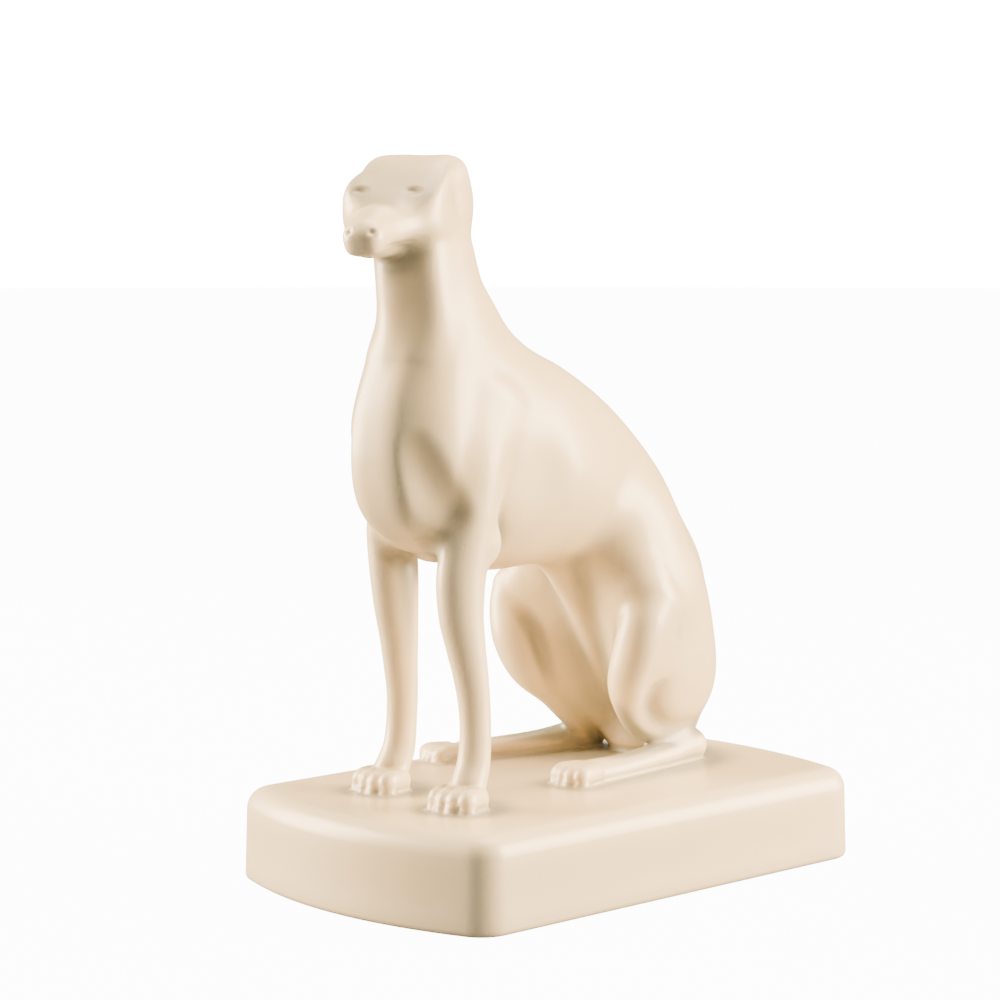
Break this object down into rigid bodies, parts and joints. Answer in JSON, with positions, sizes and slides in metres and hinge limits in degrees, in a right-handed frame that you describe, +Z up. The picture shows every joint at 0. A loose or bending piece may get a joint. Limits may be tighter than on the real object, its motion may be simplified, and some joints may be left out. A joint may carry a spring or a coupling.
{
  "type": "greyhound statue",
  "caption": "Glazed ceramic ornament: a greyhound sitting upright with its head turned, fired in one with a low plinth that has bowed ends and rounded corners.",
  "frame": {"origin": "middle of the plinth's underside, halfway between its straight sides and its corners", "axes": "+Z up, -Y towards the end that the greyhound faces, +X towards the greyhound's left side"},
  "size_m": [0.1018, 0.1664, 0.2004],
  "materials": {
    "glazed_ceramic": "glossy cream glaze over pale fired clay, thinner and lighter on edges, warmer where it pools, with scattered pinholes"
  },
  "bodies": {
    "root": {"greyhound_statue": "glazed_ceramic"}
  },
  "joints": []
}
